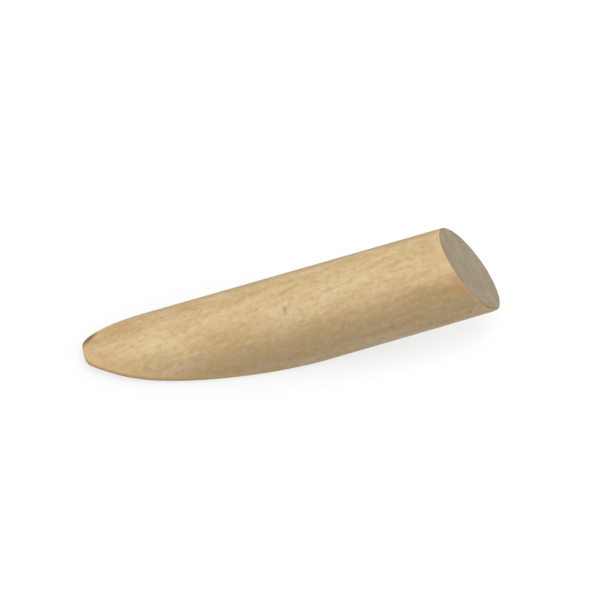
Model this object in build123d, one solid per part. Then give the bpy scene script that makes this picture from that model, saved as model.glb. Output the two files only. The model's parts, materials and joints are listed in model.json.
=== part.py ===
from build123d import *
import math
import os

# Pocket hole plug: one length of birch dowel with two slanting saw cuts.
#
# The long cut leaves an oval show face, which ends up flush with the board.
# The short cut leaves the seat end, which goes first into the pocket.
# The plug lies on its show face, which is in the plane Z = 0, with the dowel
# rising from the tip to the seat end. The origin is the middle of the oval,
# where the dowel's axis crosses it. +X runs from the tip to the seat end, +Z is
# up, and the plug is symmetrical about the plane Y = 0.
# Lengths are in millimetres and angles in degrees.

# Driving dimensions
DOWEL_DIAMETER = 9.525    # 3/8 inch stock, for a pocket drilled with a 3/8 inch bit
OVERALL_LENGTH = 43.0     # along the dowel, from the rounded tip to the far corner of the seat end
SHOW_ANGLE = 15.0         # between the show face and the dowel's axis, as the pocket is drilled
SEAT_LEAN = 31.0          # how far the seat end leans from square, the same way as the show face
SHOW_EASE = 0.6           # radius of the sanded arris around the show face, and of the tip
SEAT_EASE = 0.2           # radius of the lightly broken arris around the seat end

# Worked out from them
RADIUS = DOWEL_DIAMETER / 2
SEAT_CORNER_ANGLE = 90.0 - SEAT_LEAN


def length_lost_to_easing(corner_angle, ease_radius):
    """How far rounding pulls back a corner that has one side along the dowel."""
    half_corner = math.radians(corner_angle) / 2
    return ease_radius / math.tan(half_corner) - ease_radius


def knife_tip_reach():
    """From the middle of the oval back along the dowel to the unrounded tip."""
    return RADIUS / math.tan(math.radians(SHOW_ANGLE))


def seat_corner_reach():
    """From the middle of the oval along the dowel to the seat end's unrounded far corner."""
    rounded_tip_reach = knife_tip_reach() - length_lost_to_easing(SHOW_ANGLE, SHOW_EASE)
    seat_end_loss = length_lost_to_easing(SEAT_CORNER_ANGLE, SEAT_EASE)
    return OVERALL_LENGTH - rounded_tip_reach + seat_end_loss


def dowel_frame():
    """Plane across the dowel at the origin, with Z to the seat end and X away from the show face."""
    angle = math.radians(SHOW_ANGLE)
    to_seat_end = (math.cos(angle), 0, math.sin(angle))
    away_from_show_face = (-math.sin(angle), 0, math.cos(angle))
    return Plane(origin=(0, 0, 0), x_dir=away_from_show_face, z_dir=to_seat_end)


def seat_plane():
    """The short saw cut, which leaves the show face's side of the dowel the longer."""
    reach_on_axis = seat_corner_reach() - RADIUS * math.tan(math.radians(SEAT_LEAN))
    return dowel_frame().offset(reach_on_axis).rotated((0, -SEAT_LEAN, 0))


def dowel_stock(radius):
    """A round length of stock that reaches past each cut by the dowel's own diameter."""
    past_tip = knife_tip_reach() + DOWEL_DIAMETER
    past_seat = seat_corner_reach() + DOWEL_DIAMETER
    section = dowel_frame().offset(-past_tip) * Circle(radius)
    return extrude(section, amount=past_tip + past_seat)


def cut_show_face():
    """Stock with the oval show face, its arris and tip already rounded.

    The arris is a knife edge at the tip, too thin for a fillet to run round it.
    A core that is thinner all over by the rounding is cut first and then grown
    by it: the flat and the round grow to their true places, and the arris
    between them grows into a round edge.
    """
    core = dowel_stock(RADIUS - SHOW_EASE)
    core = split(core, bisect_by=Plane.XY.offset(SHOW_EASE), keep=Keep.TOP)
    return offset(core, amount=SHOW_EASE, kind=Kind.ARC)


def cut_seat_end(stock):
    """Saw the seat end and break its arris."""
    stock = split(stock, bisect_by=seat_plane(), keep=Keep.BOTTOM)
    seat_face = stock.faces().filter_by(GeomType.PLANE).sort_by(Axis.X)[-1]
    return fillet(seat_face.edges(), radius=SEAT_EASE)


plug = cut_seat_end(cut_show_face())
plug.label = "plug"

os.makedirs("parts", exist_ok=True)
export_step(plug, "parts/plug.step")
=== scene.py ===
import json
import math

import bpy
import numpy as np
from mathutils import Matrix, Vector

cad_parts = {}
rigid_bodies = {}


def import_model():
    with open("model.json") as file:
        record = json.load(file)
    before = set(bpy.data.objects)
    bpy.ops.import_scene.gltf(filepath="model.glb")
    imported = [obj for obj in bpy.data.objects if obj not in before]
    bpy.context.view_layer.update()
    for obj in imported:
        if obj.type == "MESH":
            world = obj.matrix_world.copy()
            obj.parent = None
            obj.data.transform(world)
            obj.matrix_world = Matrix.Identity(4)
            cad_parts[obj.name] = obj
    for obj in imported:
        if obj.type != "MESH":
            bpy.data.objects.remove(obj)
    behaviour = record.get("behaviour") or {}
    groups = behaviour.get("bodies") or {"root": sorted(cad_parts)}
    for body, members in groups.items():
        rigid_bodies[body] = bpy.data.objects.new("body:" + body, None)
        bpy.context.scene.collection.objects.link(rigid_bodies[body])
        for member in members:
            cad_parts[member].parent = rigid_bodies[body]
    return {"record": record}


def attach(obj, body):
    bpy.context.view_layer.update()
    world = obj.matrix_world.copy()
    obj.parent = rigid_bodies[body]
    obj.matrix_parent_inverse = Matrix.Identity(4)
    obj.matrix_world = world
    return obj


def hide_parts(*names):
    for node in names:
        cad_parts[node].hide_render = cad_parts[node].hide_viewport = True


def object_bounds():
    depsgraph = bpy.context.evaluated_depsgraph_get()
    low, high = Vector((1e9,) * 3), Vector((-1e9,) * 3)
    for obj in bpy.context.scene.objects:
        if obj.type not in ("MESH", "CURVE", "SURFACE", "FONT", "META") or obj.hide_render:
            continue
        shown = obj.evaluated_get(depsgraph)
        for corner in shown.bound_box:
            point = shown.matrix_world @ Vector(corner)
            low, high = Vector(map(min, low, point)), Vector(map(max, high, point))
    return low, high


# The looks of a pocket hole plug: bare birch dowel, rubbed smooth round its side, with a sawn
# oval show face underneath and a sawn seat end. Lengths are in metres unless a name ends in MM.
# The finishes work in mm, in the dowel's own frame, which Finish describes.

MM = 0.001

# The arrises. The show face's is a shade crisper than the solid's, and its tip is worn back.
SHOW_EASE = 0.55 * MM
SEAT_EASE = 0.2 * MM

# How finely the skin of the plug is divided
AROUND = 320
SHOW_FACE_RINGS = 32
SHOW_ARRIS_RINGS = 16
SIDE_RINGS = 196
SEAT_ARRIS_RINGS = 8
SEAT_FACE_RINGS = 40

# The small dark pit, which lies across the grain. Its place is given along the dowel and round
# it, from the line farthest from the show face.
PIT_ALONG = 6.6 * MM
PIT_ROUND = math.radians(-17.0)
PIT_HALF_WIDTH = 0.16 * MM   # along the dowel
PIT_HALF_LENGTH = 0.28 * MM  # round it
PIT_SLANT = 0.33
PIT_DEPTH = 0.04 * MM

# The flats that blunt the tip: degrees from straight ahead towards the near side, degrees down
# from level, the distance from the frame's origin, and how soft its borders are
TIP_FLATS = ((-6.0, 20.0, 13.1 * MM, 0.2 * MM), (56.0, 42.0, 6.3 * MM, 0.35 * MM))

# How far wear has flattened the rim of the seat end, halfway down its near side
RIM_WEAR = 0.34 * MM
RIM_WEAR_ROUND = math.radians(-109.0)
RIM_WEAR_SOFTNESS = 0.03 * MM

# How deep a rubbed flat is where it counts as worn right through
WORN_THROUGH = 0.1 * MM

# The relief of the side: its depth, how many cells go round the dowel, and each one's length
RAISED_FIBRES = (0.006 * MM, 110, 5 * MM)
FINE_THREADS = (0.004 * MM, 260, 2 * MM)
RUBBED_WAVES = (0.022 * MM, 9, 7 * MM)

# The depths of the relief elsewhere
ARRIS_DEPTH = 0.008 * MM
SHOW_NICK_DEPTH = 0.034 * MM
SEAT_NICK_DEPTH = 0.06 * MM
SHOW_SAW_DEPTH = 0.014 * MM
SEAT_SAW_DEPTH = 0.022 * MM
SHOW_MIDDLE_DEPTH = 0.008 * MM
SEAT_MIDDLE_DEPTH = 0.012 * MM

# The saw: the pitch of its marks on each face, and twice the radius of their arcs
SHOW_SAW_PITCH = 0.9 * MM
SEAT_SAW_PITCH = 0.8 * MM
SAW_ARC = 60.0 * MM

# The cells of the torn grain on a sawn face, and of its broader unevenness
TORN_CELL = 0.22 * MM
BROAD_CELL = 1.1 * MM

# The nicks of each arris: how many cells go round it
SHOW_NICK_CELLS = 40
SEAT_NICK_CELLS = 56

# The mesh carries distances from an arris up to this many mm
FAR_FROM_ARRIS_MM = 3.0

# Where the camera stands from the middle of the plug
CAMERA_AZIMUTH = math.radians(-33.4)
CAMERA_ELEVATION = math.radians(50.2)
CAMERA_ROLL = math.radians(19.4)
CAMERA_DISTANCE = 366.0 * MM
CAMERA_LENS_MM = 222.0

# The ground: its colour for the light that it throws back. Where it is seen it is white, and most
# of that is a glow, which keeps its shadow faint and dims close beside the plug.
WHITE = (1.0, 1.0, 1.0, 1.0)
GROUND = (0.62, 0.62, 0.62, 1.0)
GROUND_GLOW_SHARE = 0.9
GROUND_GLOW = 1.025
CONTACT_SHADOW = 0.18
CONTACT_REACH = 3.6 * MM
FLOOR_GAP = 0.005 * MM

# The light: a softbox overhead and a faint white sky
LIGHT_AZIMUTH = math.radians(90.0)
LIGHT_ELEVATION = math.radians(86.0)
LIGHT_DISTANCE = 450.0 * MM
LIGHT_SIZE = 300.0 * MM
LIGHT_POWER = 1.14
SKY_LIGHT = 0.36

# How far the fibres drift round the dowel for each length along it
GRAIN_SLOPE = 0.12

# How far the pith lies from the dowel's axis, away from the show face and towards the near side
PITH_AWAY_MM = 19.0
PITH_NEARER_MM = 8.0

# The middle and the half widths of the dark place at the tip and of the seat end's pale place
DARK_TIP_PLACE_MM = (-4.25, 1.9, -13.1)
DARK_TIP_SPREAD_MM = (1.5, 1.4, 2.0)
PALE_PLACE_MM = (-3.4, -1.6, 27.5)
PALE_SPREAD_MM = (1.8, 3.2, 2.0)

# The finishes, in the order of the plug's materials
SIDE = 0
SHOW_FACE = 1
SEAT_END = 2

SEED = 31


# ---------------------------------------------------------------------------------------------
# The plug's sizes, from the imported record


class Plug:
    """The dowel's frame and its two cuts."""

    def __init__(self, record):
        mounts = {mount["name"]: mount for mount in record["mounts"]}
        self.radius = mounts["shank"]["dims"]["r_mm"] * MM
        self.along = np.array(mounts["shank"]["axis"])
        self.across = np.array([0.0, 1.0, 0.0])
        self.away = np.cross(self.along, self.across)
        self.show_normal = np.array(mounts["show_face"]["axis"], float)
        self.show_point = np.array(mounts["show_face"]["pos_m"], float)
        self.seat_normal = np.array(mounts["seat_face"]["axis"])
        self.seat_point = np.array(mounts["seat_face"]["pos_m"])

    def radial(self, angles):
        """Directions square to the dowel. Angle 0 points away from the show face."""
        return np.outer(np.cos(angles), self.away) + np.outer(np.sin(angles), self.across)

    def inside_cut(self, radials, radius, point, normal, depth):
        """Where lines along the dowel, at this radius, come within depth of a cut."""
        to_line = radials * radius
        reach = ((point - to_line) @ normal - depth) / (self.along @ normal)
        return to_line + np.outer(reach, self.along)


# ---------------------------------------------------------------------------------------------
# Random relief, all of it cut into the surface


def lattice_noise(rng, u, v, wrap_u=None):
    """Smooth noise from 0 to 1 over two coordinates, with one random value for each unit square."""
    column = np.floor(u).astype(int)
    row = np.floor(v).astype(int)
    columns = wrap_u or column.max() + 2
    row -= row.min()
    values = rng.random((columns + 1, row.max() + 2))
    fade_u = u - np.floor(u)
    fade_v = v - np.floor(v)
    fade_u = fade_u * fade_u * (3 - 2 * fade_u)
    fade_v = fade_v * fade_v * (3 - 2 * fade_v)
    here = column % columns
    beside = (column + 1) % columns
    near = values[here, row] * (1 - fade_u) + values[beside, row] * fade_u
    far = values[here, row + 1] * (1 - fade_u) + values[beside, row + 1] * fade_u
    return near * (1 - fade_v) + far * fade_v


def round_noise(rng, turn, cells_round, along, cell_length):
    """Noise over the side of the dowel. Turn goes from 0 to 1 round it."""
    return lattice_noise(rng, turn * cells_round, along / cell_length, wrap_u=cells_round)


def plane_noise(rng, x, y, cell):
    return lattice_noise(rng, (x - x.min()) / cell, (y - y.min()) / cell)


def side_relief(rng, plug, turn, along):
    """Raised fibres, the low waves that rubbing leaves, and the pit."""
    layers = [
        depth * round_noise(rng, turn, cells_round, along, cell_length)
        for depth, cells_round, cell_length in (RAISED_FIBRES, FINE_THREADS, RUBBED_WAVES)
    ]
    return sum(layers) + pit_depth(plug, turn, along)


def pit_depth(plug, turn, along):
    """How deep the pit is at each place on the side."""
    round_offset = (turn * 2 * math.pi - PIT_ROUND + math.pi) % (2 * math.pi) - math.pi
    sideways = round_offset * plug.radius
    lengthways = along - PIT_ALONG - PIT_SLANT * sideways
    spread = (lengthways / PIT_HALF_WIDTH) ** 2 + (sideways / PIT_HALF_LENGTH) ** 2
    return PIT_DEPTH * np.exp(-spread)


def arris_relief(rng, turn, depth, cells_round):
    """Nicks and rubbed places along an arris, which differ round it."""
    zero = np.zeros_like(turn)
    broad = lattice_noise(rng, turn * cells_round, zero, wrap_u=cells_round)
    fine = lattice_noise(rng, turn * cells_round * 4, zero, wrap_u=cells_round * 4)
    nicks = np.clip(fine - 0.72, 0, None) / 0.28
    return depth * (0.35 * broad + 0.65 * nicks)


def sawn_relief(rng, across, down, tooth_pitch, depth):
    """The arcs of a saw blade and the torn ends of the fibres."""
    arc = down + across**2 / SAW_ARC
    marks = 0.5 + 0.5 * np.cos(2 * math.pi * arc / tooth_pitch)
    torn = plane_noise(rng, across, down, TORN_CELL)
    coarse = plane_noise(rng, across, down, BROAD_CELL)
    return depth * (0.3 * marks * coarse + 0.45 * torn + 0.25 * coarse)


# ---------------------------------------------------------------------------------------------
# The plug's skin: rings from the middle of the show face, over the side, to the middle of the seat


def arc_between(start, end, share):
    """Unit vectors a share of the way round from one set of directions to another."""
    angle = np.arccos(np.clip((start * end).sum(1), -1, 1))[:, None]
    return (np.sin((1 - share) * angle) * start + np.sin(share * angle) * end) / np.sin(angle)


def cut_face_rings(line, ease, normal, rings, outward):
    """Rings of a flat cut face inside its arris, and its middle."""
    rim = line + ease * normal
    middle = rim.mean(0)
    shares = np.linspace(0, 1, rings + 1)[1:-1]
    if not outward:
        shares = shares[::-1]
    return np.array([middle + share * (rim - middle) for share in shares]), middle


class Skin:
    """Rings of points, with the relief and the finish of each."""

    def __init__(self):
        self.points = []
        self.inward = []
        self.relief = []
        self.finish = []

    def add(self, points, inward, relief, finish):
        self.points.append(points)
        self.inward.append(np.broadcast_to(inward, points.shape))
        self.relief.append(relief)
        self.finish.append(finish)

    def settle(self):
        self.points = np.array(self.points)
        self.worn = np.zeros(self.points.shape[:2])

    def wear_flat(self, normal, limit, softness):
        """Rub a flat where the skin reaches beyond the limit along the normal."""
        beyond = (self.points @ normal - limit) / softness
        taken = softness * np.logaddexp(0, beyond)
        self.points = self.points - taken[:, :, None] * normal
        self.worn = np.maximum(self.worn, np.clip(taken / WORN_THROUGH, 0, 1))

    def surface(self):
        return self.points + np.array(self.inward) * np.array(self.relief)[:, :, None]

    def from_arris(self, centres, ease):
        """How far each point is from where the arris ends, over the face or side that it is on."""
        nearest = [
            np.linalg.norm(ring[:, None] - centres[None], axis=2).min(1) for ring in self.points
        ]
        return np.sqrt(np.clip(np.array(nearest) ** 2 - ease**2, 0, None))


def skin_of(plug):
    """All rings of the plug, with its wear."""
    rng = np.random.default_rng(SEED)
    skin = Skin()
    angles = np.linspace(0, 2 * math.pi, AROUND, endpoint=False)
    turn = angles / (2 * math.pi)
    radials = plug.radial(angles)

    # The arrises are swept round these lines
    show_core = plug.radius - SHOW_EASE
    show_line = plug.inside_cut(radials, show_core, plug.show_point, plug.show_normal, SHOW_EASE)
    seat_core = plug.radius - SEAT_EASE
    seat_line = plug.inside_cut(radials, seat_core, plug.seat_point, plug.seat_normal, SEAT_EASE)
    show_nicks = arris_relief(rng, turn, SHOW_NICK_DEPTH, SHOW_NICK_CELLS)
    seat_nicks = arris_relief(rng, turn, SEAT_NICK_DEPTH, SEAT_NICK_CELLS)

    show_middle = add_show_face(skin, rng, plug, show_line)
    for share in np.linspace(0, 1, SHOW_ARRIS_RINGS):
        direction = arc_between(np.broadcast_to(plug.show_normal, radials.shape), radials, share)
        finish = SHOW_FACE if share < 0.5 else SIDE
        add_arris_ring(skin, show_line, SHOW_EASE, direction, show_nicks, share, finish)
    add_side(skin, rng, plug, radials, turn, show_line, seat_line)
    for share in np.linspace(0, 1, SEAT_ARRIS_RINGS):
        direction = arc_between(radials, np.broadcast_to(plug.seat_normal, radials.shape), share)
        finish = SIDE if share < 0.5 else SEAT_END
        add_arris_ring(skin, seat_line, SEAT_EASE, direction, seat_nicks, share, finish)
    seat_middle = add_seat_end(skin, rng, plug, seat_line)

    skin.settle()
    skin.show_edge = skin.from_arris(show_line, SHOW_EASE)
    skin.seat_edge = skin.from_arris(seat_line, SEAT_EASE)
    wear_ends(skin, plug)
    skin.middles = [
        show_middle - plug.show_normal * SHOW_MIDDLE_DEPTH,
        seat_middle - plug.seat_normal * SEAT_MIDDLE_DEPTH,
    ]
    return skin


def add_show_face(skin, rng, plug, line):
    """The rings of the oval face, from its middle out. Returns the middle."""
    rings, middle = cut_face_rings(
        line, SHOW_EASE, plug.show_normal, SHOW_FACE_RINGS, outward=True
    )
    depths = sawn_relief(rng, rings[:, :, 1], rings[:, :, 0], SHOW_SAW_PITCH, SHOW_SAW_DEPTH)
    for ring, depth in zip(rings, depths):
        skin.add(ring, -plug.show_normal, depth, SHOW_FACE)
    return middle


def add_seat_end(skin, rng, plug, line):
    """The rings of the seat end, from its rim in. Returns the middle."""
    rings, middle = cut_face_rings(
        line, SEAT_EASE, plug.seat_normal, SEAT_FACE_RINGS, outward=False
    )
    down = np.cross(plug.seat_normal, plug.across)
    depths = sawn_relief(rng, rings @ plug.across, rings @ down, SEAT_SAW_PITCH, SEAT_SAW_DEPTH)
    for ring, depth in zip(rings, depths):
        skin.add(ring, -plug.seat_normal, depth, SEAT_END)
    return middle


def add_arris_ring(skin, line, ease, direction, nicks, share, finish):
    """One ring of a rounded arris. Its nicks are deepest halfway over."""
    depth = nicks * math.sin(math.pi * share) ** 0.5 + ARRIS_DEPTH
    skin.add(line + ease * direction, -direction, depth, finish)


def add_side(skin, rng, plug, radials, turn, show_line, seat_line):
    """The rings of the round side, from the show face's arris to the seat end's."""
    start = show_line @ plug.along
    end = seat_line @ plug.along
    shares = np.linspace(0, 1, SIDE_RINGS + 2)[1:-1]
    along = np.array([start + share * (end - start) for share in shares])
    depths = side_relief(rng, plug, np.broadcast_to(turn, along.shape), along)
    for row, depth in zip(along, depths):
        ring = plug.radius * radials + np.outer(row, plug.along)
        skin.add(ring, -radials, depth, SIDE)


def flat_normal(turned, down):
    """The way that one of the tip's flats faces, from its two angles in degrees."""
    turned = math.radians(turned)
    down = math.radians(down)
    level = math.cos(down)
    return np.array([-level * math.cos(turned), -level * math.sin(turned), -math.sin(down)])


def wear_ends(skin, plug):
    """Blunt the tip with its flats and rub the near side of the seat end's rim."""
    for turned, down, limit, softness in TIP_FLATS:
        skin.wear_flat(flat_normal(turned, down), limit, softness)
    rim = plug.radial([RIM_WEAR_ROUND])[0] + plug.seat_normal
    rim /= np.linalg.norm(rim)
    limit = (skin.points @ rim).max() - RIM_WEAR
    skin.wear_flat(rim, limit, RIM_WEAR_SOFTNESS)


def plug_mesh(skin):
    """A closed mesh of quads between the rings and a fan in the middle of each cut face."""
    surface = skin.surface()
    rings = len(surface)
    points = np.concatenate([surface.reshape(-1, 3), skin.middles])
    index = np.arange(rings * AROUND).reshape(rings, AROUND)
    beside = np.roll(index, -1, axis=1)
    quads = np.stack([index[:-1], beside[:-1], beside[1:], index[1:]], axis=-1).reshape(-1, 4)
    show_middle = rings * AROUND
    seat_middle = show_middle + 1
    faces = quads.tolist()
    faces += [[show_middle, b, a] for a, b in zip(index[0], beside[0])]
    faces += [[seat_middle, a, b] for a, b in zip(index[-1], beside[-1])]

    mesh = bpy.data.meshes.new("plug_skin")
    mesh.from_pydata(points.tolist(), [], faces)
    finishes = np.repeat(np.maximum(skin.finish[:-1], skin.finish[1:]), AROUND)
    finishes = np.concatenate([finishes, np.full(AROUND, SHOW_FACE), np.full(AROUND, SEAT_END)])
    mesh.polygons.foreach_set("material_index", finishes.astype(np.int32))
    mesh.polygons.foreach_set("use_smooth", np.ones(len(faces), bool))
    far = FAR_FROM_ARRIS_MM
    for name, values, at_middles in (
        ("show_edge", np.clip(skin.show_edge / MM, 0, far), far),
        ("seat_edge", np.clip(skin.seat_edge / MM, 0, far), far),
        ("worn", skin.worn, 0.0),
    ):
        layer = mesh.attributes.new(name, "FLOAT", "POINT")
        values = np.append(values.ravel(), [at_middles, at_middles])
        layer.data.foreach_set("value", values.astype(np.float32))
    mesh.update()
    return mesh


# ---------------------------------------------------------------------------------------------
# Finishes


class Graph:
    """Adds nodes to a node tree and joins them up."""

    def __init__(self, tree):
        self.tree = tree

    def add(self, kind, inputs=None, **settings):
        """A node with its settings; each input is given a value or another node's output."""
        node = self.tree.nodes.new(kind)
        for name, value in settings.items():
            setattr(node, name, value)
        for name, value in (inputs or {}).items():
            if isinstance(value, bpy.types.NodeSocket):
                self.tree.links.new(value, node.inputs[name])
            else:
                node.inputs[name].default_value = value
        return node

    def math(self, operation, first, second=0.0):
        node = self.add("ShaderNodeMath", {0: first, 1: second}, operation=operation)
        return node.outputs[0]

    def between(self, value, low, high, to_low=0.0, to_high=1.0):
        """Maps a value from one range to another, smoothly."""
        node = self.add(
            "ShaderNodeMapRange",
            {"Value": value, "From Min": low, "From Max": high, "To Min": to_low, "To Max": to_high},
            interpolation_type="SMOOTHSTEP",
        )
        return node.outputs["Result"]

    def band(self, value, start, full, full_end, end):
        """1 between two values, fading to 0 outside them."""
        rise = self.between(value, start, full)
        fall = self.between(value, full_end, end, 1.0, 0.0)
        return self.math("MULTIPLY", rise, fall)

    def stretch(self, vector, across, along):
        """Scales a position, by one amount across the dowel and another along it."""
        node = self.add(
            "ShaderNodeVectorMath", {0: vector, 1: (across, across, along)}, operation="MULTIPLY"
        )
        return node.outputs[0]

    def with_the_grain(self, position):
        """Leans a position over, because the fibres run a little out of line with the dowel."""
        axes = self.add("ShaderNodeSeparateXYZ", {0: position}).outputs
        leaned = self.math("SUBTRACT", axes["Y"], self.math("MULTIPLY", axes["Z"], GRAIN_SLOPE))
        node = self.add("ShaderNodeCombineXYZ", {"X": axes["X"], "Y": leaned, "Z": axes["Z"]})
        return node.outputs[0]

    def noise(self, vector, detail, roughness=0.5):
        node = self.add(
            "ShaderNodeTexNoise",
            {"Vector": vector, "Scale": 1.0, "Detail": detail, "Roughness": roughness},
        )
        return node.outputs["Fac"]

    def blend(self, share, first, second):
        """Mixes two colours: all of the first where the share is 0, all of the second where 1."""
        node = self.add("ShaderNodeMix", data_type="RGBA")
        pairs = ((node.inputs[0], share), (node.inputs[6], first), (node.inputs[7], second))
        for socket, value in pairs:
            if isinstance(value, bpy.types.NodeSocket):
                self.tree.links.new(value, socket)
            else:
                socket.default_value = value
        return node.outputs[2]

    def group(self, shared, inputs):
        return self.add("ShaderNodeGroup", inputs, node_tree=shared).outputs


def shared_effect(name, inputs, outputs):
    """An empty node group with named sockets, and its graph, inputs and outputs."""
    tree = bpy.data.node_groups.new(name, "ShaderNodeTree")
    for socket, kind, default in inputs:
        made = tree.interface.new_socket(name=socket, in_out="INPUT", socket_type=kind)
        if default is not None:
            made.default_value = default
    for socket, kind in outputs:
        tree.interface.new_socket(name=socket, in_out="OUTPUT", socket_type=kind)
    graph = Graph(tree)
    given = tree.nodes.new("NodeGroupInput").outputs
    result = tree.nodes.new("NodeGroupOutput").inputs
    return tree, graph, given, result


def swatch(red, green, blue):
    """A colour from the 0 to 255 of a paint swatch to the renderer's linear values."""
    shares = [channel / 255 for channel in (red, green, blue)]
    linear = [((s + 0.055) / 1.055) ** 2.4 if s > 0.04045 else s / 12.92 for s in shares]
    return (*linear, 1.0)


def growth_rings():
    """Annual rings round a pith that lies outside the dowel, a little out of line with it."""
    tree, graph, given, result = shared_effect(
        "Growth rings",
        [
            ("Position", "NodeSocketVector", None),
            ("Spacing", "NodeSocketFloat", 2.3),
            ("Waviness", "NodeSocketFloat", 2.0),
        ],
        [("Late wood", "NodeSocketFloat")],
    )
    position = graph.with_the_grain(given["Position"])
    wander = graph.noise(graph.stretch(position, 0.16, 0.05), detail=3)
    wander = graph.math("MULTIPLY", graph.math("SUBTRACT", wander, 0.5), given["Waviness"])
    axes = graph.add("ShaderNodeSeparateXYZ", {0: position}).outputs
    from_pith_x = graph.math("POWER", graph.math("ADD", axes["X"], PITH_AWAY_MM), 2.0)
    from_pith_y = graph.math("POWER", graph.math("ADD", axes["Y"], PITH_NEARER_MM), 2.0)
    radius = graph.math("SQRT", graph.math("ADD", from_pith_x, from_pith_y))
    radius = graph.math("ADD", radius, wander)
    season = graph.math("FRACT", graph.math("DIVIDE", radius, given["Spacing"]))
    late = graph.band(season, 0.5, 0.9, 0.93, 1.0)
    graph.tree.links.new(late, result["Late wood"])
    return tree


def fibre_grain():
    """Long fibres, fine threads and the short dark vessels of birch."""
    tree, graph, given, result = shared_effect(
        "Fibre grain",
        [("Position", "NodeSocketVector", None), ("Vessel size", "NodeSocketFloat", 0.2)],
        [
            ("Streaks", "NodeSocketFloat"),
            ("Threads", "NodeSocketFloat"),
            ("Vessels", "NodeSocketFloat"),
        ],
    )
    position = graph.with_the_grain(given["Position"])
    streaks = graph.noise(graph.stretch(position, 1.3, 0.16), detail=3, roughness=0.6)
    threads = graph.noise(graph.stretch(position, 4.2, 1.0), detail=3, roughness=0.65)
    cells = graph.add(
        "ShaderNodeTexVoronoi",
        {"Vector": graph.stretch(position, 3.2, 1.1), "Scale": 1.0, "Randomness": 1.0},
    )
    edge = graph.math("MULTIPLY", given["Vessel size"], 0.45)
    vessels = graph.between(cells.outputs["Distance"], edge, given["Vessel size"], 1.0, 0.0)
    graph.tree.links.new(streaks, result["Streaks"])
    graph.tree.links.new(threads, result["Threads"])
    graph.tree.links.new(vessels, result["Vessels"])
    return tree


def mottling():
    """Soft clouds of tone and of warmth, a little longer along the dowel, and a fine speckle."""
    tree, graph, given, result = shared_effect(
        "Mottling",
        [("Position", "NodeSocketVector", None)],
        [("Tone", "NodeSocketFloat"), ("Warmth", "NodeSocketFloat"), ("Speckle", "NodeSocketFloat")],
    )
    position = graph.with_the_grain(given["Position"])
    tone = graph.noise(graph.stretch(position, 0.5, 0.2), detail=3, roughness=0.55)
    moved = graph.add(
        "ShaderNodeVectorMath", {0: position, 1: (31.0, 17.0, 5.0)}, operation="ADD"
    ).outputs[0]
    warmth = graph.noise(graph.stretch(moved, 0.3, 0.14), detail=2)
    speckle = graph.noise(graph.stretch(moved, 2.1, 1.5), detail=4, roughness=0.55)
    graph.tree.links.new(tone, result["Tone"])
    graph.tree.links.new(warmth, result["Warmth"])
    graph.tree.links.new(speckle, result["Speckle"])
    return tree


def stain():
    """A patch with a ragged soft edge. Spread is its half width each way, and Slant leans it."""
    tree, graph, given, result = shared_effect(
        "Stain",
        [
            ("Position", "NodeSocketVector", None),
            ("Place", "NodeSocketVector", None),
            ("Spread", "NodeSocketVector", (1.0, 1.0, 1.0)),
            ("Slant", "NodeSocketFloat", GRAIN_SLOPE),
            ("Raggedness", "NodeSocketFloat", 0.8),
        ],
        [("Mask", "NodeSocketFloat")],
    )
    offset = graph.add(
        "ShaderNodeVectorMath", {0: given["Position"], 1: given["Place"]}, operation="SUBTRACT"
    ).outputs[0]
    axes = graph.add("ShaderNodeSeparateXYZ", {0: offset}).outputs
    leaned = graph.math("SUBTRACT", axes["Y"], graph.math("MULTIPLY", axes["Z"], given["Slant"]))
    offset = graph.add(
        "ShaderNodeCombineXYZ", {"X": axes["X"], "Y": leaned, "Z": axes["Z"]}
    ).outputs[0]
    shares = graph.add("ShaderNodeVectorMath", {0: offset, 1: given["Spread"]}, operation="DIVIDE")
    length = graph.add("ShaderNodeVectorMath", {0: shares.outputs[0]}, operation="LENGTH")
    rough = graph.noise(graph.stretch(given["Position"], 0.9, 0.45), detail=3)
    rough = graph.math("MULTIPLY", graph.math("SUBTRACT", rough, 0.5), given["Raggedness"])
    reach = graph.math("ADD", length.outputs["Value"], rough)
    graph.tree.links.new(graph.between(reach, 0.25, 1.15, 1.0, 0.0), result["Mask"])
    return tree


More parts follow.
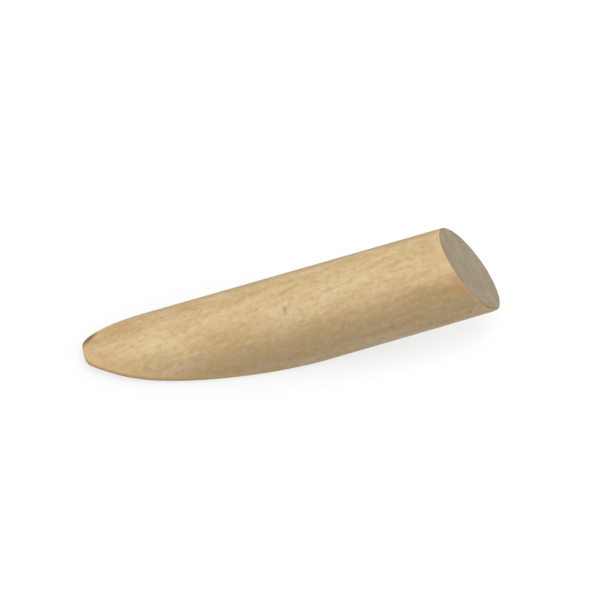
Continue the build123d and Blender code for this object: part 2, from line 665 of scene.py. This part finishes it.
class Finish:
    """A material with a Principled shader, whose colour is built up in washes of paint.

    Its position is in mm in the dowel's own frame: Z along the dowel, X towards the show face.
    """

    def __init__(self, name, plug, effects, vessel_size):
        self.material = bpy.data.materials.new(name)
        self.material.use_nodes = True
        self.material.node_tree.nodes.clear()
        self.graph = Graph(self.material.node_tree)
        self.plug = plug
        output = self.graph.add("ShaderNodeOutputMaterial")
        self.shader = self.graph.add("ShaderNodeBsdfPrincipled")
        self.graph.tree.links.new(self.shader.outputs[0], output.inputs["Surface"])
        self.position = self.in_dowel_frame()
        here = {"Position": self.position}
        self.stain = effects["stain"]
        self.rings = self.graph.group(effects["rings"], here)
        self.grain = self.graph.group(effects["grain"], {**here, "Vessel size": vessel_size})
        self.clouds = self.graph.group(effects["mottling"], here)

    def in_dowel_frame(self):
        """The place being shaded, in mm in the dowel's own frame."""
        place = self.graph.add("ShaderNodeTexCoord").outputs["Object"]
        lean = math.atan2(self.plug.along[0], self.plug.along[2])
        scale = 1 / MM
        upright = {
            "Vector": place,
            "Rotation": (0.0, -lean, 0.0),
            "Scale": (scale, scale, scale),
        }
        return self.graph.add("ShaderNodeMapping", upright, vector_type="POINT").outputs[0]

    def base(self, darker, paler):
        """The ground colour, clouded between two paints."""
        tone = self.graph.between(self.clouds["Tone"], 0.35, 0.65)
        self.colour = self.graph.blend(tone, swatch(*darker), swatch(*paler))

    def wash(self, mask, strength, paint):
        """Lay a paint over the colour so far, as thickly as the mask times the strength."""
        share = self.graph.math("MULTIPLY", mask, strength)
        self.colour = self.graph.blend(share, self.colour, swatch(*paint))

    def patch(self, place, spread, **more):
        """The mask of one stain."""
        inputs = {"Position": self.position, "Place": place, "Spread": spread, **more}
        return self.graph.group(self.stain, inputs)["Mask"]

    def carried(self, name):
        """A value that the mesh carries: the distance in mm from an arris, or how worn it is."""
        return self.graph.add("ShaderNodeAttribute", attribute_name=name).outputs["Fac"]

    def on_side(self, along, degrees_round):
        """A place on the side, in mm in the dowel's frame."""
        angle = math.radians(degrees_round)
        radius = self.plug.radius / MM
        return (-radius * math.cos(angle), radius * math.sin(angle), along)

    def finished(self, roughness, height, bump_strength, bump_distance):
        """The material, with its colour, its roughness and a fine bump joined up."""
        bump = self.graph.add(
            "ShaderNodeBump",
            {"Height": height, "Strength": bump_strength, "Distance": bump_distance},
        )
        links = self.graph.tree.links
        links.new(self.colour, self.shader.inputs["Base Color"])
        links.new(roughness, self.shader.inputs["Roughness"])
        links.new(bump.outputs[0], self.shader.inputs["Normal"])
        return self.material


# Soft patches of tone on the side, among them painted highlight and painted light from the ground:
# how far along and how many degrees round, then half the length and half the width, then the
# strength and the paint
SIDE_STAINS_AND_PAINTED_LIGHT = (
    (20.0, -47.0, 4.5, 1.2, 0.60, (203, 162, 114)),
    (18.5, -30.0, 4.0, 0.7, 0.45, (215, 178, 128)),
    (-2.5, 31.0, 1.6, 1.0, 0.60, (212, 170, 110)),
    (-9.5, 27.0, 3.0, 1.3, 0.60, (213, 171, 116)),
    (2.0, -19.0, 5.5, 0.7, 0.45, (211, 173, 120)),
    # Three pale patches along the top, partly painted highlight
    (-7.5, -11.0, 3.4, 1.5, 0.60, (248, 223, 174)),
    (12.5, -3.0, 6.5, 2.0, 0.65, (245, 220, 173)),
    (3.0, 6.0, 6.5, 0.5, 0.70, (242, 214, 160)),
    (3.5, 18.0, 5.0, 1.0, 0.60, (216, 181, 124)),
    # A painted highlight along the top
    (5.5, -10.0, 6.0, 1.0, 0.55, (248, 220, 169)),
    (13.0, -66.0, 9.0, 1.0, 0.30, (194, 162, 117)),
    # Painted light from the white ground, low on the near side by the tip
    (-6.0, -60.0, 5.0, 2.0, 0.65, (238, 218, 188)),
    (-11.8, -20.0, 1.5, 1.6, 0.50, (224, 183, 132)),
)


def rubbed_side(plug, effects):
    """Long grain, rubbed smooth: warm straw, softly clouded, with fine fibres and a low sheen,
    with painted shade down the flanks and painted highlights along the top.
    """
    finish = Finish("rubbed_side", plug, effects, vessel_size=0.2)
    graph = finish.graph
    finish.base((230, 200, 148), (239, 211, 161))
    finish.wash(graph.between(finish.clouds["Warmth"], 0.45, 0.68), 0.4, (222, 187, 130))
    # Stains, with painted highlight and painted light from the ground among them
    for along, turned, length, width, strength, paint in SIDE_STAINS_AND_PAINTED_LIGHT:
        mask = finish.patch(finish.on_side(along, turned), (width, width, length))
        finish.wash(mask, strength, paint)

    axes = graph.add("ShaderNodeSeparateXYZ", {0: finish.position}).outputs
    turned = wavering_turn(finish, axes)
    flanks = paint_flank_shade(finish, axes, turned)
    draw_fibres(finish, flanks)
    burnish_and_highlight_edges(finish, axes, turned)
    darken_tip_edge(finish)
    darken_pit(finish)

    finish.shader.inputs["Specular IOR Level"].default_value = 0.25
    gloss = graph.between(finish.grain["Streaks"], 0.3, 0.7, 0.46, 0.56)
    height = graph.math("SUBTRACT", finish.grain["Threads"], finish.grain["Vessels"])
    height = graph.math("ADD", height, finish.clouds["Speckle"])
    return finish.finished(gloss, height, 0.35, 0.012 * MM)


def wavering_turn(finish, axes):
    """How far round the dowel a point is, in radians, with a wander that frays the borders."""
    graph = finish.graph
    facing_away = graph.math("MULTIPLY", axes["X"], -1.0)
    turned = graph.math("ARCTAN2", axes["Y"], facing_away)
    waver = graph.noise(graph.stretch(finish.position, 0.3, 0.3), detail=3)
    waver = graph.math("MULTIPLY", graph.math("SUBTRACT", waver, 0.5), 0.35)
    return graph.math("ADD", turned, waver)


def paint_flank_shade(finish, axes, turned):
    """Painted shade: a darker band down each flank, fainter towards the tip on the near one, and
    painted light from the ground in a paler band below the near one. Returns the shade's mask.
    """
    graph = finish.graph
    # Painted shade down the near flank, fainter towards the tip
    near_flank_shade = graph.band(turned, -1.8, -1.2, -0.98, -0.5)
    near_flank_shade = graph.math("MULTIPLY", near_flank_shade, graph.between(axes["Z"], -10.0, 1.0, 0.3, 1.0))
    finish.wash(near_flank_shade, 0.75, (201, 172, 128))
    # Painted light thrown up from the ground, a paler band below the near flank
    finish.wash(graph.band(turned, -3.2, -2.2, -1.5, -1.0), 0.45, (228, 203, 163))
    # Painted shade down the far flank
    far_flank_shade = graph.band(turned, 0.55, 0.8, 1.1, 1.6)
    finish.wash(far_flank_shade, 0.6, (190, 157, 108))
    return graph.math("MAXIMUM", near_flank_shade, far_flank_shade)


def draw_fibres(finish, flanks):
    """Streaks, threads, specks, late wood and vessels. The light specks are fainter on the flanks."""
    graph = finish.graph
    streaks = finish.grain["Streaks"]
    speckle = finish.clouds["Speckle"]
    finish.wash(graph.between(streaks, 0.42, 0.7), 0.34, (206, 172, 120))
    finish.wash(graph.between(streaks, 0.25, 0.42, 1.0, 0.0), 0.42, (243, 218, 169))
    finish.wash(graph.between(finish.grain["Threads"], 0.45, 0.72), 0.26, (196, 163, 112))
    finish.wash(graph.between(speckle, 0.48, 0.72), 0.36, (190, 157, 109))
    light_specks = graph.between(speckle, 0.3, 0.5, 1.0, 0.0)
    off_flanks = graph.between(flanks, 0.0, 1.0, 1.0, 0.45)
    finish.wash(graph.math("MULTIPLY", light_specks, off_flanks), 0.34, (246, 222, 176))
    finish.wash(finish.rings["Late wood"], 0.13, (184, 148, 98))
    finish.wash(finish.grain["Vessels"], 0.14, (170, 137, 92))


def burnish_and_highlight_edges(finish, axes, turned):
    """A painted highlight along the top beside the seat end, and warmer wood lower down beside it,
    along the show face's arris, and where wear has rubbed the seat end's rim.
    """
    graph = finish.graph
    beside_seat = graph.between(finish.carried("seat_edge"), 0.1, 1.3, 1.0, 0.0)
    # Painted highlight on the top of the side, beside the seat end
    seat_highlight = graph.band(turned, -0.75, -0.35, 0.3, 0.7)
    finish.wash(graph.math("MULTIPLY", beside_seat, seat_highlight), 0.45, (240, 209, 156))
    warm = graph.band(turned, -1.25, -0.95, -0.65, -0.45)
    finish.wash(graph.math("MULTIPLY", beside_seat, warm), 0.6, (214, 166, 112))
    eased = graph.between(finish.carried("show_edge"), 0.0, 0.6, 1.0, 0.0)
    finish.wash(eased, 0.5, (232, 190, 132))
    not_the_tip = graph.between(axes["Z"], 0.0, 1.0)
    rubbed = graph.math("MULTIPLY", finish.carried("worn"), not_the_tip)
    finish.wash(rubbed, 0.5, (204, 173, 122))


def darken_tip_edge(finish):
    """The far edge of the tip is darker."""
    graph = finish.graph
    mask = finish.patch(DARK_TIP_PLACE_MM, DARK_TIP_SPREAD_MM, Slant=0.0, Raggedness=0.8)
    near_edge = graph.between(finish.carried("show_edge"), 0.12, 0.48, 1.0, 0.0)
    finish.wash(graph.math("MULTIPLY", mask, near_edge), 0.85, (104, 79, 50))


def darken_pit(finish):
    """The dark of the pit, and the pale chip beside it."""
    along = PIT_ALONG / MM
    degrees_round = math.degrees(PIT_ROUND)
    pit_place = finish.on_side(along, degrees_round)
    pit = finish.patch(pit_place, (1.0, 0.35, 0.27), Slant=0.75, Raggedness=0.5)
    finish.wash(pit, 0.5, (150, 116, 72))
    chip_place = finish.on_side(along + 0.35, degrees_round + 7.5)
    finish.wash(finish.patch(chip_place, (0.5, 0.3, 0.28)), 0.5, (248, 228, 184))


def sawn_show_face(plug, effects):
    """Grain cut at a long slant: paler and drier, with the rings drawn out into arches."""
    finish = Finish("sawn_show_face", plug, effects, vessel_size=0.22)
    graph = finish.graph
    speckle = finish.clouds["Speckle"]
    finish.base((213, 190, 150), (226, 206, 170))
    finish.wash(graph.between(finish.clouds["Warmth"], 0.45, 0.7), 0.45, (215, 187, 148))
    finish.wash(graph.between(speckle, 0.48, 0.74), 0.4, (184, 160, 121))
    finish.wash(graph.between(finish.grain["Threads"], 0.5, 0.75), 0.3, (186, 160, 118))
    finish.wash(finish.rings["Late wood"], 0.42, (184, 154, 112))
    finish.wash(finish.grain["Vessels"], 0.35, (158, 132, 94))
    edge = graph.between(finish.carried("show_edge"), 0.0, 0.5, 1.0, 0.0)
    finish.wash(edge, 0.4, (226, 200, 152))
    roughness = graph.between(speckle, 0.3, 0.7, 0.72, 0.85)
    height = graph.math("SUBTRACT", speckle, finish.grain["Vessels"])
    return finish.finished(roughness, height, 0.4, 0.02 * MM)


def sawn_seat_end(plug, effects):
    """End grain: an even grey brown, with fine open pores and faint rings."""
    finish = Finish("sawn_seat_end", plug, effects, vessel_size=0.3)
    graph = finish.graph
    speckle = finish.clouds["Speckle"]
    finish.base((172, 157, 131), (182, 168, 141))
    finish.wash(graph.between(finish.clouds["Warmth"], 0.45, 0.7), 0.4, (180, 158, 132))
    finish.wash(graph.between(speckle, 0.45, 0.75), 0.4, (152, 137, 110))
    finish.wash(finish.rings["Late wood"], 0.14, (150, 130, 100))
    finish.wash(finish.grain["Vessels"], 0.4, (134, 116, 90))
    paler = finish.patch(PALE_PLACE_MM, PALE_SPREAD_MM, Slant=0.0, Raggedness=0.6)
    finish.wash(paler, 0.6, (196, 175, 144))
    # A darker line just inside the seat end's rim: darker wood at the edge, partly painted shade of
    # the arris
    rim = graph.between(finish.carried("seat_edge"), 0.0, 0.16, 1.0, 0.0)
    finish.wash(rim, 0.4, (150, 130, 98))
    finish.wash(finish.carried("worn"), 0.7, (204, 173, 122))
    roughness = graph.between(speckle, 0.3, 0.7, 0.75, 0.9)
    height = graph.math("SUBTRACT", speckle, finish.grain["Vessels"])
    return finish.finished(roughness, height, 0.5, 0.025 * MM)


# ---------------------------------------------------------------------------------------------
# Floor, light and camera


def seen_directly(graph):
    """1 where a surface is seen by the camera or mirrored in something, and 0 for its light."""
    path = graph.add("ShaderNodeLightPath").outputs
    mirrored = graph.math("MAXIMUM", path["Is Glossy Ray"], path["Is Transmission Ray"])
    return graph.math("MAXIMUM", path["Is Camera Ray"], mirrored)


def pale_floor():
    """A white ground that still takes a faint shadow where it is seen."""
    half = 2.0
    mesh = bpy.data.meshes.new("floor")
    corners = [(-half, -half, 0), (half, -half, 0), (half, half, 0), (-half, half, 0)]
    mesh.from_pydata(corners, [], [(0, 1, 2, 3)])
    floor = bpy.data.objects.new("floor", mesh)
    floor.location.z = -FLOOR_GAP
    bpy.context.scene.collection.objects.link(floor)

    material = bpy.data.materials.new("white_ground")
    material.use_nodes = True
    material.node_tree.nodes.clear()
    graph = Graph(material.node_tree)
    output = graph.add("ShaderNodeOutputMaterial")
    seen = seen_directly(graph)
    lit = graph.add("ShaderNodeBsdfDiffuse", {"Color": graph.blend(seen, GROUND, WHITE)})
    open_sky = graph.add("ShaderNodeAmbientOcclusion", {"Distance": CONTACT_REACH}, samples=3)
    share_open = open_sky.outputs["AO"]
    level = graph.math("MULTIPLY", share_open, GROUND_GLOW * CONTACT_SHADOW)
    level = graph.math("ADD", level, GROUND_GLOW * (1 - CONTACT_SHADOW))
    glow = graph.add("ShaderNodeEmission", {"Color": WHITE, "Strength": level})
    mixed = graph.add(
        "ShaderNodeMixShader",
        {0: graph.math("MULTIPLY", seen, GROUND_GLOW_SHARE), 1: lit.outputs[0], 2: glow.outputs[0]},
    )
    graph.tree.links.new(mixed.outputs[0], output.inputs["Surface"])
    mesh.materials.append(material)
    return floor


def white_surroundings():
    world = bpy.data.worlds.new("white_surroundings")
    world.use_nodes = True
    world.node_tree.nodes.clear()
    graph = Graph(world.node_tree)
    strength = graph.between(seen_directly(graph), 0.0, 1.0, SKY_LIGHT, 1.0)
    sky = graph.add("ShaderNodeBackground", {"Color": WHITE, "Strength": strength})
    output = graph.add("ShaderNodeOutputWorld")
    graph.tree.links.new(sky.outputs[0], output.inputs["Surface"])
    bpy.context.scene.world = world


def softbox(middle):
    """A square area light overhead, aimed at the plug."""
    light = bpy.data.lights.new("overhead", "AREA")
    light.shape = "SQUARE"
    light.size = LIGHT_SIZE
    light.energy = LIGHT_POWER
    lamp = bpy.data.objects.new("overhead", light)
    towards = direction_from(LIGHT_AZIMUTH, LIGHT_ELEVATION)
    lamp.location = middle + towards * LIGHT_DISTANCE
    lamp.rotation_euler = (-towards).to_track_quat("-Z", "Y").to_euler()
    bpy.context.scene.collection.objects.link(lamp)


def direction_from(azimuth, elevation):
    """Towards a viewer. Azimuth 0 is on the -Y side, and it grows towards +X."""
    level = math.cos(elevation)
    return Vector(
        (math.sin(azimuth) * level, -math.cos(azimuth) * level, math.sin(elevation))
    )


def add_camera(middle):
    data = bpy.data.cameras.new("camera")
    data.lens = CAMERA_LENS_MM
    data.clip_start = 0.005
    camera = bpy.data.objects.new("camera", data)
    towards = direction_from(CAMERA_AZIMUTH, CAMERA_ELEVATION)
    facing = (-towards).to_track_quat("-Z", "Y").to_matrix().to_4x4()
    roll = Matrix.Rotation(CAMERA_ROLL, 4, "Z")
    camera.matrix_world = Matrix.Translation(middle + towards * CAMERA_DISTANCE) @ facing @ roll
    bpy.context.scene.collection.objects.link(camera)
    bpy.context.scene.camera = camera


# ---------------------------------------------------------------------------------------------

for leftover in list(bpy.data.objects):
    bpy.data.objects.remove(leftover)
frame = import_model()
cad_low, cad_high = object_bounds()

plug = Plug(frame["record"])
wood = bpy.data.objects.new("birch_plug", plug_mesh(skin_of(plug)))
bpy.context.scene.collection.objects.link(wood)
effects = {
    "rings": growth_rings(),
    "grain": fibre_grain(),
    "mottling": mottling(),
    "stain": stain(),
}
for make_finish in (rubbed_side, sawn_show_face, sawn_seat_end):
    wood.data.materials.append(make_finish(plug, effects))
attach(wood, "root")
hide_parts("plug")

pale_floor()
white_surroundings()
middle = (cad_low + cad_high) / 2
softbox(middle)
add_camera(middle)
bpy.context.scene.view_settings.view_transform = "Standard"
